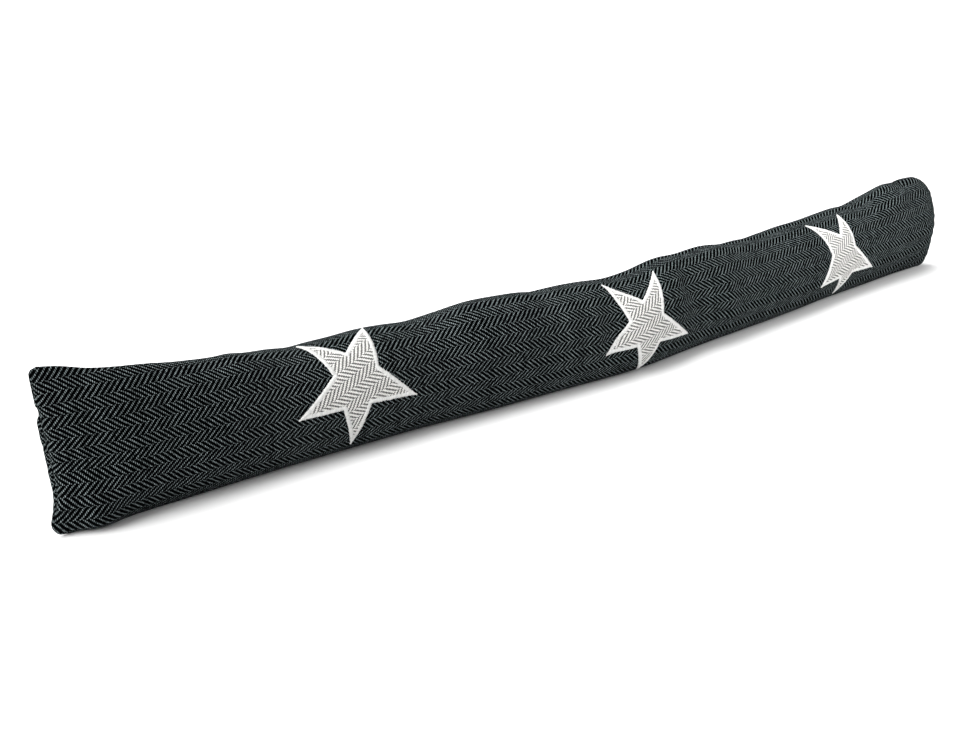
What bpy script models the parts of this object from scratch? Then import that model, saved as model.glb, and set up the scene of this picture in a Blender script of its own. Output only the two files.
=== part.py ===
"""A draught excluder: a long filled cloth tube, seamed flat at both ends, with three sewn-on stars.

Metres, +Z up. The tube lies along X with its stars facing -Y, and it rests on z = 0.
Places on the cloth are given as (along, round): the distance from the left seam, and the distance
round the tube from the middle of its underside, counted towards the front, as on the flat cloth.
"""

import bpy
import numpy as np

MM = 0.001

# The tube, in millimetres
LENGTH = 925.0
PANEL = 118.0
LEFT_SEAM_ROUND = 6.0
RIGHT_SEAM_ROUND = 4.0
FLOOR_SINK = 3.0
FLOOR_ROUND = 1.2
SETTLED_FROM = 100.0
END_SHARPNESS = 1.5
BODY_SHARPNESS = 2.1
SHARP_REACH = 160.0

# The end seams: their rounded corners, how they lean and are drawn in, the left one's ear at its foot
# and the cloth that puffs out beside it, in millimetres
LEFT_TOP_ROUND = 6.0
LEFT_FOOT_ROUND = 12.0
RIGHT_TOP_ROUND = 26.0
RIGHT_FOOT_ROUND = 7.0
CORNER_REACH = 45.0
LEFT_SET_IN = 1.7
LEFT_LEAN = 4.4
LEFT_DRAWN = 1.7
LEFT_EAR = 7.6
LEFT_EAR_SHARE = 0.27
LEFT_EAR_REACH = 34.0
LEFT_PUFF = 2.9
LEFT_PUFF_AT = 4.0
LEFT_SWELL = 8.0
LEFT_SWELL_AT = 23.0
LEFT_SWELL_REACH = 16.0
LEFT_SWELL_SHARE = 0.42
RIGHT_LEAN = 9.5
RIGHT_BULGE = 11.5
LEAN_REACH = 90.0

# The body from the left seam to the right one, in millimetres:
# along the tube, side shift of its middle, width, height, and how far the cloth has turned round it
SECTIONS = (
    ("along", "side", "width", "height", "turn"),
    (0, 0, 24, 117, 0),
    (12, 0, 28, 114.5, 2),
    (36, 0, 38, 108.5, 5),
    (80, 4, 49, 98.5, 10),
    (135, 8, 57.5, 88.5, 14),
    (200, 9, 65, 82, 15),
    (270, 6, 66, 81, 15),
    (340, -1, 64, 83, 14),
    (415, -6, 64.5, 82, 13),
    (485, -10, 67, 80, 11),
    (560, -5, 66.5, 80, 9),
    (630, 0, 69.5, 76.5, 9),
    (700, 5, 72, 75.5, 8),
    (775, 10, 70, 78, 6),
    (835, 9, 66, 86, 2),
    (870, 6, 60, 92, 0),
    (902, 2, 46, 97, 0),
    (925, 0, 14, 98, 0),
)

# Soft lumps and dents of the filling, in millimetres: where each is, how far it reaches, and its rise
LUMPS = (
    ("along", "round", "reach_along", "reach_round", "rise"),
    (139, 112, 10, 26, 1.4),
    (187, 112, 13, 28, -1.9),
    (246, 112, 20, 30, 1.9),
    (285, 112, 15, 30, -2.2),
    (340, 112, 26, 30, 3.2),
    (374, 112, 20, 30, 1.2),
    (398, 112, 9, 26, -1.2),
    (437, 76, 12, 26, -1.6),
    (478, 112, 22, 30, -2.3),
    (534, 112, 22, 30, 3.6),
    (592, 110, 28, 26, 4.6),
    (580, 84, 20, 18, -1.5),
    (636, 92, 24, 22, -1.8),
    (664, 112, 12, 26, -1.2),
    (714, 112, 20, 28, 1.7),
    (810, 112, 15, 26, -4.2),
    (858, 112, 20, 26, 3.2),
)

LUMPS_FROM = 24.0

# The stars' middles on the cloth, in millimetres
STARS = (
    ("along", "round"),
    (219, 62),
    (485, 56),
    (757, 61),
)

# The way each corner of a star lies from its middle, in degrees, a row for each star: no two are alike
CORNER_TURNS = (
    ("right", "dip_1", "upper_right", "dip_2", "upper_left", "dip_3", "left", "dip_4", "lower", "dip_5"),
    (-21, 21, 59, 90, 123, 152, 199, 232, 265, 302),
    (-22, 20, 59, 93, 125, 163, 205, 238, 272, 305),
    (-21, 25, 67, 91, 128, 165, 209, 249, 264, 308),
)

# How far each of those corners is from its star's middle, in millimetres
CORNER_REACHES = (
    ("right", "dip_1", "upper_right", "dip_2", "upper_left", "dip_3", "left", "dip_4", "lower", "dip_5"),
    (52.5, 22.5, 51.5, 23, 52, 18.5, 52, 21, 48.5, 19.5),
    (51, 17, 50, 20, 51, 19, 45.5, 20.5, 48, 22),
    (51, 18.5, 47, 21.5, 52.5, 22.5, 44, 20.5, 39, 22.5),
)

# The satin edges and the cloth inside them, in millimetres
EDGE_WIDTH = 3.6
EDGE_HEIGHT = 1.3
PATCH_THICKNESS = 1.0
GAP = 0.3
CLEAR = 0.6

# How finely the solids are divided
END_ROWS = (0, 0.8, 2.2, 4.5, 8, 13, 20, 29)
MIDDLE_ROWS = 100
HALF_COLUMNS = 22
COLUMN_CROWDING = 0.55
SECTION_POINTS = 61
STAR_STEPS = 5
SLOPE_STEP = 0.5
SHARP_ANGLE = 40.0
TINY = 1e-6


def column(table, name):
    """One named column of a table as an array."""
    place = table[0].index(name)
    return np.array([row[place] for row in table[1:]], float)


def follow(name, along):
    """A smooth curve through one column of the sections, read at each place along the tube."""
    at, value = column(SECTIONS, "along"), column(SECTIONS, name)
    slope = np.gradient(value, at)
    i = np.clip(np.searchsorted(at, along) - 1, 0, len(at) - 2)
    step = at[i + 1] - at[i]
    w = (along - at[i]) / step
    start = (2 * w**3 - 3 * w**2 + 1) * value[i] + (w**3 - 2 * w**2 + w) * step * slope[i]
    end = (3 * w**2 - 2 * w**3) * value[i + 1] + (w**3 - w**2) * step * slope[i + 1]
    return start + end


def ease(x):
    """A soft step from 0 to 1."""
    x = np.clip(x, 0, 1)
    return x * x * (3 - 2 * x)


def on_floor(z, soft):
    """Heights below the floor pressed flat onto it, with a small round where the cloth lifts off."""
    lifting = (z + soft) ** 2 / (4 * soft)
    return np.where(z > soft, z, np.where(z < -soft, 0, lifting))


def half_sections(along):
    """The half section at each place: how far out it is, how high, and the share of the way round."""
    from_end = np.minimum(along, LENGTH - along)
    power = 2 / (END_SHARPNESS + (BODY_SHARPNESS - END_SHARPNESS) * ease(from_end / SHARP_REACH))
    sink = FLOOR_SINK * ease(from_end / SETTLED_FROM)
    seam_round = np.where(along < LENGTH / 2, LEFT_SEAM_ROUND, RIGHT_SEAM_ROUND)
    seam = np.sqrt(1 - (1 - np.clip(from_end / seam_round, 0, 1)) ** 2)
    turn = np.linspace(0, np.pi, SECTION_POINTS)
    upright = np.sign(np.cos(turn)) * np.abs(np.cos(turn)) ** power[:, None]
    outward = np.sin(turn) ** power[:, None]
    half_height = (follow("height", along) + sink) / 2
    raised = half_height[:, None] * (1 - upright) - sink[:, None]
    high = on_floor(raised, np.maximum(FLOOR_ROUND * sink / FLOOR_SINK, TINY)[:, None])
    out = outward * (follow("width", along) / 2)[:, None]
    lengths = np.hypot(np.diff(out, axis=1), np.diff(high, axis=1))
    share = np.concatenate([np.zeros((len(along), 1)), np.cumsum(lengths, axis=1)], axis=1)
    return out * seam[:, None], high, share / share[:, -1:]


def rounded(share, foot, top):
    """How far a seam is cut back by the rounds at its foot and top, at each share of its height."""
    radius = np.where(share < 0.5, foot, top)
    way = np.minimum(share, 1 - share) * PANEL
    missing = np.clip(radius - way, 0, radius)
    return radius - np.sqrt(radius**2 - missing**2)


def end_shape(along, share):
    """How far along the tube each end's cloth is shifted by its lean, its corners and its fullness."""
    up = 2 * share - 1
    left = rounded(share, LEFT_FOOT_ROUND, LEFT_TOP_ROUND) * ease(1 - along / CORNER_REACH)
    left += (LEFT_SET_IN + LEFT_DRAWN * (1 - up**2) - LEFT_LEAN * up) * ease(1 - along / LEAN_REACH)
    left -= LEFT_EAR * ease(1 - share / LEFT_EAR_SHARE) * ease(1 - along / LEFT_EAR_REACH)
    puffed = along / LEFT_PUFF_AT
    left -= LEFT_PUFF * (1 - up**2) * puffed * np.exp(1 - puffed)
    right = rounded(share, RIGHT_FOOT_ROUND, RIGHT_TOP_ROUND) + RIGHT_BULGE * up**2 + RIGHT_LEAN * up
    return left - right * ease(1 - (LENGTH - along) / LEAN_REACH)


def foot_swell(along, around):
    """How far the cloth low on the front stands out beside the left end's foot."""
    way = np.sqrt(np.clip(around / PANEL / LEFT_SWELL_SHARE, 0, 1))
    far = (along - LEFT_SWELL_AT) / LEFT_SWELL_REACH
    return LEFT_SWELL * np.sin(np.pi * way) * np.exp(-(far**2)) * ease(along / LEFT_SWELL_AT)


def plain_surface(along, around):
    """Points of the smooth body, before its lumps. 'around' is counted on the section itself."""
    along = np.clip(along, 0, LENGTH)
    around = (around + PANEL) % (2 * PANEL) - PANEL
    side = np.where(around < 0, -1, 1)
    share = np.abs(around) / PANEL
    out, high, steps = half_sections(along)
    y = np.array([np.interp(s, step, o) for s, step, o in zip(share, steps, out)]) * side
    y += foot_swell(along, around)
    z = np.array([np.interp(s, step, h) for s, step, h in zip(share, steps, high)])
    before, after = np.maximum(along - SLOPE_STEP, 0), np.minimum(along + SLOPE_STEP, LENGTH)
    lean = (follow("side", after) - follow("side", before)) / (after - before)
    size = np.hypot(1, lean)
    x = along + end_shape(along, share) + y * lean / size
    return np.stack([x, follow("side", along) - y / size, z], axis=1)


def lumps(along, around):
    """The rise of the filling's lumps at each place."""
    rise = np.zeros(len(along))
    names = LUMPS[0]
    for row in LUMPS[1:]:
        lump = dict(zip(names, row))
        far = (along - lump["along"]) / lump["reach_along"]
        aside = (around - lump["round"] + PANEL) % (2 * PANEL) - PANEL
        rise += lump["rise"] * np.exp(-(far**2) - (aside / lump["reach_round"]) ** 2)
    off_floor = ease((np.abs(around) - LUMPS_FROM) / LUMPS_FROM)
    return rise * off_floor


def surface(along, around, lift=0.0):
    """Points on the tube, or that far above it, in metres, from places on its sections."""
    here = plain_surface(along, around)
    lengthwise = plain_surface(along + SLOPE_STEP, around) - plain_surface(along - SLOPE_STEP, around)
    crosswise = plain_surface(along, around + SLOPE_STEP) - plain_surface(along, around - SLOPE_STEP)
    outward = np.cross(lengthwise, crosswise)
    size = np.linalg.norm(outward, axis=1, keepdims=True)
    outward = outward / np.maximum(size, TINY)
    return (here + outward * (lumps(along, around) + lift)[:, None]) * MM


def material(name, colour, roughness):
    """A plain finish for one kind of cloth or thread."""
    finish = bpy.data.materials.new(name)
    finish.use_nodes = True
    shader = finish.node_tree.nodes["Principled BSDF"]
    shader.inputs["Base Color"].default_value = (*colour, 1)
    shader.inputs["Roughness"].default_value = roughness
    shader.inputs["Metallic"].default_value = 0
    return finish


def solid(name, points, faces, finish):
    """A named object from points and faces."""
    mesh = bpy.data.meshes.new(name)
    mesh.from_pydata([tuple(p) for p in points], [], faces)
    mesh.materials.append(finish)
    mesh.shade_smooth()
    mesh.set_sharp_from_angle(angle=np.radians(SHARP_ANGLE))
    obj = bpy.data.objects.new(name, mesh)
    bpy.context.scene.collection.objects.link(obj)
    return obj


def tube(finish):
    """The filled body: rows of half sections that share their lowest and highest points and both seams."""
    ends = np.array(END_ROWS, float)
    middle = np.linspace(ends[-1], LENGTH - ends[-1], MIDDLE_ROWS + 2)[1:-1]
    rows = np.concatenate([ends, middle, LENGTH - ends[::-1]])
    even = np.linspace(0, 1, HALF_COLUMNS + 1)
    crowded = (1 - np.cos(np.pi * even)) / 2
    columns = PANEL * (even + (crowded - even) * COLUMN_CROWDING)
    back = -columns[1:-1][::-1]
    points, rings = [], []
    for number, row in enumerate(rows):
        around = columns if number in (0, len(rows) - 1) else np.concatenate([columns, back])
        found = surface(np.full(len(around), row), around)
        first = len(points)
        points.extend(found)
        ring = list(range(first, first + len(found)))
        if len(ring) == len(columns):
            ring = ring + ring[1:-1][::-1]
        rings.append(ring)
    faces = []
    count = 2 * HALF_COLUMNS
    for here, beyond in zip(rings, rings[1:]):
        for i in range(count):
            j = (i + 1) % count
            faces.append((here[i], beyond[i], beyond[j], here[j]))
    return solid("tube", points, faces, finish)


def star_outline(star, inset):
    """The ten corners of a star's outline, its edges moved in by that much, from the star's middle."""
    turns, reaches = np.radians(CORNER_TURNS[star]), np.array(CORNER_REACHES[star])
    corners = np.stack([reaches * np.cos(turns), reaches * np.sin(turns)], axis=1)
    along_edge = np.roll(corners, -1, axis=0) - corners
    along_edge /= np.linalg.norm(along_edge, axis=1, keepdims=True)
    inward = np.stack([-along_edge[:, 1], along_edge[:, 0]], axis=1)
    both = inward + np.roll(inward, 1, axis=0)
    return corners + inset * 2 * both / np.sum(both**2, axis=1, keepdims=True)


def on_tube(star, flat, lift):
    """Places of a star's flat pattern carried onto the tube."""
    middle = dict(zip(STARS[0], STARS[star]))
    along = middle["along"] + flat[:, 0]
    around = middle["round"] + flat[:, 1] + follow("turn", along)
    return surface(along, around, lift)


def rim_points(corners):
    """Points evenly along each side of an outline, from its corners."""
    points = []
    for here, beyond in zip(corners, np.roll(corners, -1, axis=0)):
        points += [here + (beyond - here) * k / STAR_STEPS for k in range(STAR_STEPS)]
    return points


def star_patch(name, star, finish):
    """The star of cloth: ten triangles from its middle, divided evenly, with a thickness."""
    corners = star_outline(star, EDGE_WIDTH + GAP)
    places, index, faces = [], {}, []

    def place(flat):
        key = (round(flat[0], 4), round(flat[1], 4))
        if key not in index:
            index[key] = len(places)
            places.append(flat)
        return index[key]

    for here, beyond in zip(corners, np.roll(corners, -1, axis=0)):
        a, b = here / STAR_STEPS, beyond / STAR_STEPS
        for i in range(STAR_STEPS):
            for j in range(STAR_STEPS - i):
                low = i * a + j * b
                faces.append((place(low), place(low + a), place(low + b)))
                if j < STAR_STEPS - i - 1:
                    faces.append((place(low + a), place(low + a + b), place(low + b)))
    flat = np.array(places)
    count = len(flat)
    top = on_tube(star, flat, CLEAR + PATCH_THICKNESS)
    under = on_tube(star, flat, CLEAR)
    closed = faces + [tuple(v + count for v in reversed(face)) for face in faces]
    rim = [place(point) for point in rim_points(corners)]
    for here, beyond in zip(rim, rim[1:] + rim[:1]):
        closed.append((beyond, here, here + count, beyond + count))
    return solid(name, np.concatenate([top, under]), closed, finish)


def star_edge(name, star, finish):
    """The satin-stitched border round a star: a low rounded band that follows its outline."""
    levels = ((0, 0), (0, 0.5), (0.5, 1), (1, 0.5), (1, 0), (0.5, 0))
    loops = []
    for inward, raised in levels:
        flat = np.array(rim_points(star_outline(star, inward * EDGE_WIDTH)))
        loops.append(on_tube(star, flat, CLEAR + raised * EDGE_HEIGHT))
    count = len(loops[0])
    faces = []
    for level in range(len(levels)):
        above = (level + 1) % len(levels)
        for i in range(count):
            j = (i + 1) % count
            faces.append((level * count + i, level * count + j, above * count + j, above * count + i))
    return solid(name, np.concatenate(loops), faces, finish)


def centre_on_floor(objects):
    """Moves the meshes so that the origin is under the middle of the whole object's box."""
    points = np.array([v.co[:] for obj in objects for v in obj.data.vertices])
    middle = (points.min(axis=0) + points.max(axis=0)) / 2
    for obj in objects:
        for vertex in obj.data.vertices:
            vertex.co.x -= middle[0]
            vertex.co.y -= middle[1]


def main():
    for obj in list(bpy.data.objects):
        bpy.data.objects.remove(obj)
    tweed = material("dark_herringbone", (0.036, 0.040, 0.042), 0.9)
    pale = material("pale_herringbone", (0.62, 0.60, 0.56), 0.85)
    satin = material("satin_thread", (0.85, 0.85, 0.84), 0.5)
    made = [tube(tweed)]
    for star in range(1, len(STARS)):
        made.append(star_patch(f"star_{star}", star, pale))
        made.append(star_edge(f"star_edge_{star}", star, satin))
    centre_on_floor(made)


main()
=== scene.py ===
"""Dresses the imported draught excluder: its woven cover, its sewn-on stars and their satin stitches.

Metres, +Z up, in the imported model's frame. Places on the cloth are (along, round) in millimetres:
the distance from the left seam, and the distance round the tube from the middle of its underside.
"""

import bpy
import numpy as np
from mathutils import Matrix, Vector


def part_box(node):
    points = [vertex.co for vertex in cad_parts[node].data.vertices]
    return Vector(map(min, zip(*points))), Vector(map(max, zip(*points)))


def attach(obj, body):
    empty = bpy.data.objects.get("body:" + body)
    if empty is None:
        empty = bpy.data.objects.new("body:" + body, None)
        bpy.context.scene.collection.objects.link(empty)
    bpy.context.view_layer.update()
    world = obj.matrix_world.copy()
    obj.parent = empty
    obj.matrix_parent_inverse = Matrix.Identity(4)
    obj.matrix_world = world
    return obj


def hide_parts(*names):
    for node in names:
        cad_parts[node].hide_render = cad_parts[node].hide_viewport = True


MM = 0.001
TINY = 1e-6

# The camera, as fitted to the photograph
CAMERA_AT = (-0.7256, -0.7680, 0.4250)
CAMERA_DOWN = 22.0
CAMERA_TURN = -38.4
FOCAL_PIXELS = 1369.0
IMAGE_WIDTH = 960.0
SENSOR = 36.0
NEAREST_SEEN = 0.02
FARTHEST_SEEN = 60.0

# The lights: how strong each is, where it shines from, how broad it is, and what it is aimed at
SURROUND = 0.5
OVERHEAD = 5.2
OVERHEAD_AT = (-0.40, 0.22, 0.89)
OVERHEAD_ANGLE = 60.0
LEFT_LIGHT = 2.8
LEFT_LIGHT_AT = (-0.88, -0.08, 0.46)
LEFT_LIGHT_ANGLE = 30.0
FAR_LIGHT = 1.9
FAR_LIGHT_AT = (0.36, -0.45, 0.30)
FAR_LIGHT_SIZE = 0.4
FAR_END = (0.37, 0.0, 0.05)
TUBE_MIDDLE = (0.0, 0.0, 0.0)

# The floor, in metres
FLOOR_HALF = 12.0
FLOOR_COLOUR = (0.75, 0.75, 0.75)
FLOOR_CLOUDS = 3.0
FLOOR_TONES = (0.99, 0.02)
FLOOR_ROUGHNESS = 0.9
FLOOR_GLOSS = 0.1

# The tube's shape, in millimetres: the solids' own, but for a slimmer strip at the left seam
LENGTH = 925.0
PANEL = 118.0
LEFT_SEAM_ROUND = 4.0
RIGHT_SEAM_ROUND = 4.0
FLOOR_SINK = 3.0
FLOOR_ROUND = 1.2
SETTLED_FROM = 100.0
END_SHARPNESS = 1.5
BODY_SHARPNESS = 2.1
SHARP_REACH = 160.0

# The end seams, in millimetres: their corners, their lean, and the left one's ear, puff and swelling
LEFT_TOP_ROUND = 6.0
LEFT_FOOT_ROUND = 12.0
RIGHT_TOP_ROUND = 26.0
RIGHT_FOOT_ROUND = 7.0
CORNER_REACH = 45.0
LEFT_SET_IN = 1.3
LEFT_LEAN = 4.4
LEFT_DRAWN = 1.7
LEFT_EAR = 7.6
LEFT_EAR_SHARE = 0.27
LEFT_EAR_REACH = 34.0
LEFT_PUFF = 1.6
LEFT_PUFF_AT = 4.0
LEFT_SWELL = 8.0
LEFT_SWELL_AT = 23.0
LEFT_SWELL_REACH = 16.0
LEFT_SWELL_SHARE = 0.42
RIGHT_LEAN = 9.5
RIGHT_BULGE = 11.5
LEAN_REACH = 90.0

SECTIONS = (
    ("along", "side", "width", "height", "turn"),
    (0, 0, 15, 117, 0),
    (12, 0, 25, 114.5, 2),
    (36, 0, 38, 108.5, 5),
    (80, 4, 49, 98.5, 10),
    (135, 8, 57.5, 88.5, 14),
    (200, 9, 65, 82, 15),
    (270, 6, 66, 81, 15),
    (340, -1, 64, 83, 14),
    (415, -6, 64.5, 82, 13),
    (485, -10, 67, 80, 11),
    (560, -5, 66.5, 80, 9),
    (630, 0, 69.5, 76.5, 9),
    (700, 5, 72, 75.5, 8),
    (775, 10, 70, 78, 6),
    (835, 9, 66, 86, 2),
    (870, 6, 60, 92, 0),
    (902, 2, 46, 97, 0),
    (925, 0, 14, 98, 0),
)

# How far from the middle of the underside the lumps begin
LUMPS_FROM = 24.0

# Soft lumps and dents of the filling, in millimetres: where each is, how far it reaches, and its rise
LUMPS = (
    ("along", "round", "reach_along", "reach_round", "rise"),
    (139, 112, 10, 26, 1.4),
    (187, 112, 13, 28, -1.9),
    (246, 112, 20, 30, 1.9),
    (285, 112, 15, 30, -2.2),
    (340, 112, 26, 30, 3.2),
    (374, 112, 20, 30, 1.2),
    (398, 112, 9, 26, -1.2),
    (437, 76, 12, 26, -1.6),
    (478, 112, 22, 30, -2.3),
    (534, 112, 22, 30, 3.6),
    (592, 110, 28, 26, 4.6),
    (580, 84, 20, 18, -1.5),
    (636, 92, 24, 22, -1.8),
    (664, 112, 12, 26, -1.2),
    (714, 112, 20, 28, 1.7),
    (810, 112, 15, 26, -4.2),
    (858, 112, 20, 26, 3.2),
)

# Creases and shallow folds that only the scene has, in millimetres: where each is, how long and wide
# half of it is, the way it runs, in degrees, and its rise
CREASES = (
    ("along", "round", "half_length", "half_width", "degrees", "rise"),
    (168, 94, 20, 12.0, 50, -2.2),
    (436, 70, 22, 6.0, 88, 2.6),
    (455, 76, 24, 11.0, 80, -3.8),
    (547, 70, 28, 15.0, 98, -6.0),
    (540, 96, 14, 8.0, 66, -2.4),
    (588, 66, 24, 10.0, 100, 2.8),
    (572, 44, 18, 5.0, 20, -0.8),
    (842, 101, 26, 4.5, 6, -1.2),
    (846, 95, 26, 4.5, 4, 1.6),
    (872, 91, 30, 4.0, 5, -1.7),
    (893, 100, 18, 4.0, 8, -1.3),
    (896, 93, 18, 4.0, 8, 1.2),
    (888, 60, 26, 4.5, -3, 1.3),
    (886, 50, 26, 4.5, -3, -1.4),
    (1, 86, 4.0, 6.0, 90, -0.8),
    (1, 150, 4.0, 6.0, 90, -1.3),
    (1, 164, 9.0, 7.0, 90, 0.9),
    (16, 20, 12, 3.5, 24, -1.3),
    (14, 27, 11, 3.0, 20, 0.8),
)

# Faint unevenness of the filling: its waves' lengths, how often they go round, and how far they rise
WAVE_LENGTHS = (150, 95, 70, 52, 40, 31)
WAVES_ROUND = (1, 2, 3, 4)
WAVE_STRENGTHS = (0.3, 1)
WAVE_RISE = 0.22
WAVES_FROM = 8.0

# The end seams' puckers: their rises, how many there are round, and how far they reach
LEFT_PUCKERS = 0.07
RIGHT_PUCKERS = 0.16
PUCKER_COUNTS = range(9, 34, 3)
PUCKER_STRENGTHS = (0.4, 1)
PUCKER_REACH = 11.0
PUCKER_START = 2.0
PUCKERS_FROM = 4.0

# The middles of the stars
STARS = (
    ("along", "round"),
    (219, 62),
    (485, 56),
    (757, 61),
)

# The way each corner of a star lies from its middle, in degrees, a row for each star: no two are alike
CORNER_TURNS = (
    ("right", "dip_1", "upper_right", "dip_2", "upper_left", "dip_3", "left", "dip_4", "lower", "dip_5"),
    (-21, 21, 59, 90, 123, 152, 199, 232, 265, 302),
    (-22, 20, 59, 93, 125, 163, 205, 238, 272, 305),
    (-21, 25, 67, 91, 128, 165, 209, 249, 264, 308),
)

# How far each of those corners is from its star's middle, in millimetres
CORNER_REACHES = (
    ("right", "dip_1", "upper_right", "dip_2", "upper_left", "dip_3", "left", "dip_4", "lower", "dip_5"),
    (52.5, 22.5, 51.5, 23, 52, 18.5, 52, 21, 48.5, 19.5),
    (51, 17, 50, 20, 51, 19, 45.5, 20.5, 48, 22),
    (51, 18.5, 47, 21.5, 52.5, 22.5, 44, 20.5, 39, 22.5),
)

# How finely the cover is divided, where its long seam is, and how finely its box is measured
SECTION_POINTS = 61
SLOPE_STEP = 0.5
ROW_PITCH = 1.62
COLUMNS = 74
SEAM_COLUMN = 19
SEAM_PLACE = SEAM_COLUMN * PANEL / COLUMNS
END_ROWS = (0.45, 0.8, 1.3, 2.0, 2.9, 4.0, 5.3)
MEASURED_ROWS = 260
MEASURED_POINTS = 181

# How the cover's cloth folds in at its ends: how far, in millimetres, and the share of its width left
FOLDS = ((0.15, 0.66), (0.6, 0.34), (1.3, 0.12), (2.2, 0.0))

# The cover's weave, in millimetres: where it keeps its length, and its fuller cloth low at the left end
TRUE_LENGTH_FROM = 40.0
FULLER_BELOW = 50.0
FULLER_BY = 0.15
FULLER_REACH = 120.0

# The stars as sewn, in millimetres
STAR_REACH = 64.0
SEWN_DEPTH = 0.45
SEWN_REACH = 2.6
STAR_SEAM = 0.5
STAR_CUT_INSET = 1.4
STAR_THICKNESS = 0.8
STAR_UNDERSIDE = 0.05
STAR_CROWN = 0.5
UNDER_CROWN = 0.5
CROWN_REACH = 9.0
STAR_DIVISIONS = 16

# Each star's weave: its slant, in degrees, and where it begins, in millimetres
STAR_SLANTS = (20.0, 19.0, 18.0)
STAR_WEAVE_FROM = ((300.0, 300.0), (300.0, 303.0), (300.0, 305.0))

# The satin stitches, in millimetres: pitch, length, jitter, the fan at a notch, and how high they lie
STITCH_PITCH = 0.52
SATIN_WIDTH = 3.2
STITCH_JITTER = 0.50
LEAST_OUTWARD = -0.3
TIP_ALLOWANCE = (1.15, 0.25)
STITCH_FAN = 9
OUTER_LIFT = 0.12
INNER_LIFT = 0.47
ABOVE = 4.0

# One stitch's own shape, in metres: its thread, its bulge, and how finely it is divided
THREAD_WIDTH = 0.00062
THREAD_DEPTH = 0.42
STITCH_BULGE = 0.00085
STITCH_UNEVENNESS = 0.10
ARCH_SHARPNESS = 0.55
POINTS_ACROSS = 5
POINTS_ALONG = 7
SEED = 7

# The two cloths: yarn pitches in metres, colours, and how far the crossing yarn shows
COVER_CLOTH = {
    "pick": 0.00108,
    "end": 0.00095,
    "start": 0.0023,
    "weft": (0.150, 0.176, 0.179, 1),
    "warp": (0.0004, 0.0006, 0.0007, 1),
    "weft_width": (0.42, 0.94),
    "weft_ends": (0.24, 0.72),
    "unevenness": 1.0,
    "sheen": 0.0,
}
STAR_CLOTH = {
    "pick": 0.00101,
    "end": 0.00089,
    "start": 0.0,
    "weft": (0.028, 0.028, 0.027, 1),
    "warp": (0.69, 0.685, 0.66, 1),
    "weft_width": (0.10, 0.56),
    "weft_ends": (0.05, 0.45),
    "unevenness": 0.30,
    "sheen": 0.03,
}

# Both weaves: how many yarns each float passes over, and how many ends lie in a band
YARNS_A_FLOAT = 2
ENDS_A_BAND = 8

# Both cloths' yarns: how they wander, in metres, how round they are, how their tones vary, and how dark
# the painted shade in the gaps between floats gets
WANDER = 0.0006
WANDER_SCALE = 130.0
DRIFT = 0.0005
DRIFT_SCALE = 171.0
YARN_ROUNDNESS = 0.6
DIVE_ROUNDNESS = 0.5
FIBRE_SCALE = 5200.0
MOTTLE_SCALE = 420.0
YARN_TONES = 0.5
FIBRE_TONES = 1.1
MOTTLE_TONES = 0.9
DARKEST_PAINTED_GAP_SHADE = 0.45
YARN_ROUGHNESS = (0.9, 0.12)
FIBRE_HEIGHT = 0.25
YARN_RELIEF = 0.00028
YARN_BUMP = 0.8
SHEEN_ROUGHNESS = 0.35

# How finely both the yarns' and the thread's fibres are broken up
FIBRE_DETAIL = 3.0
FIBRE_ROUGHNESS = 0.6

# The satin thread's looks
SATIN_COLOUR = (0.53, 0.53, 0.52)
SATIN_FIBRES = 3800.0
SATIN_TONES = (0.80, 0.25, 0.16)
SATIN_ROUGHNESS = (0.42, 0.16)
SATIN_RELIEF = 0.00008
SATIN_BUMP = 0.6
SATIN_SHEEN = 0.15


def named_rows(table):
    """The rows of a table, each with its values by name."""
    return [dict(zip(table[0], row)) for row in table[1:]]


def column(table, name):
    """One named column of a table as an array."""
    place = table[0].index(name)
    return np.array([row[place] for row in table[1:]], float)


def follow(name, along):
    """A smooth curve through one column of the sections, read at each place along the tube."""
    at, value = column(SECTIONS, "along"), column(SECTIONS, name)
    slope = np.gradient(value, at)
    i = np.clip(np.searchsorted(at, along) - 1, 0, len(at) - 2)
    step = at[i + 1] - at[i]
    w = (along - at[i]) / step
    start = (2 * w**3 - 3 * w**2 + 1) * value[i] + (w**3 - 2 * w**2 + w) * step * slope[i]
    end = (3 * w**2 - 2 * w**3) * value[i + 1] + (w**3 - w**2) * step * slope[i + 1]
    return start + end


def ease(x):
    """A soft step from 0 to 1."""
    x = np.clip(x, 0, 1)
    return x * x * (3 - 2 * x)


def on_floor(z, soft):
    """Heights below the floor pressed flat onto it, with a small round where the cloth lifts off."""
    lifting = (z + soft) ** 2 / (4 * soft)
    return np.where(z > soft, z, np.where(z < -soft, 0, lifting))


def half_sections(along):
    """The half section at each place: how far out it is, how high, and the share of the way round."""
    from_end = np.minimum(along, LENGTH - along)
    power = 2 / (END_SHARPNESS + (BODY_SHARPNESS - END_SHARPNESS) * ease(from_end / SHARP_REACH))
    sink = FLOOR_SINK * ease(from_end / SETTLED_FROM)
    seam_round = np.where(along < LENGTH / 2, LEFT_SEAM_ROUND, RIGHT_SEAM_ROUND)
    seam = np.sqrt(1 - (1 - np.clip(from_end / seam_round, 0, 1)) ** 2)
    turn = np.linspace(0, np.pi, SECTION_POINTS)
    upright = np.sign(np.cos(turn)) * np.abs(np.cos(turn)) ** power[:, None]
    outward = np.sin(turn) ** power[:, None]
    half_height = (follow("height", along) + sink) / 2
    raised = half_height[:, None] * (1 - upright) - sink[:, None]
    high = on_floor(raised, np.maximum(FLOOR_ROUND * sink / FLOOR_SINK, TINY)[:, None])
    out = outward * (follow("width", along) / 2)[:, None]
    lengths = np.hypot(np.diff(out, axis=1), np.diff(high, axis=1))
    share = np.concatenate([np.zeros((len(along), 1)), np.cumsum(lengths, axis=1)], axis=1)
    return out * seam[:, None], high, share / share[:, -1:]


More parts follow.
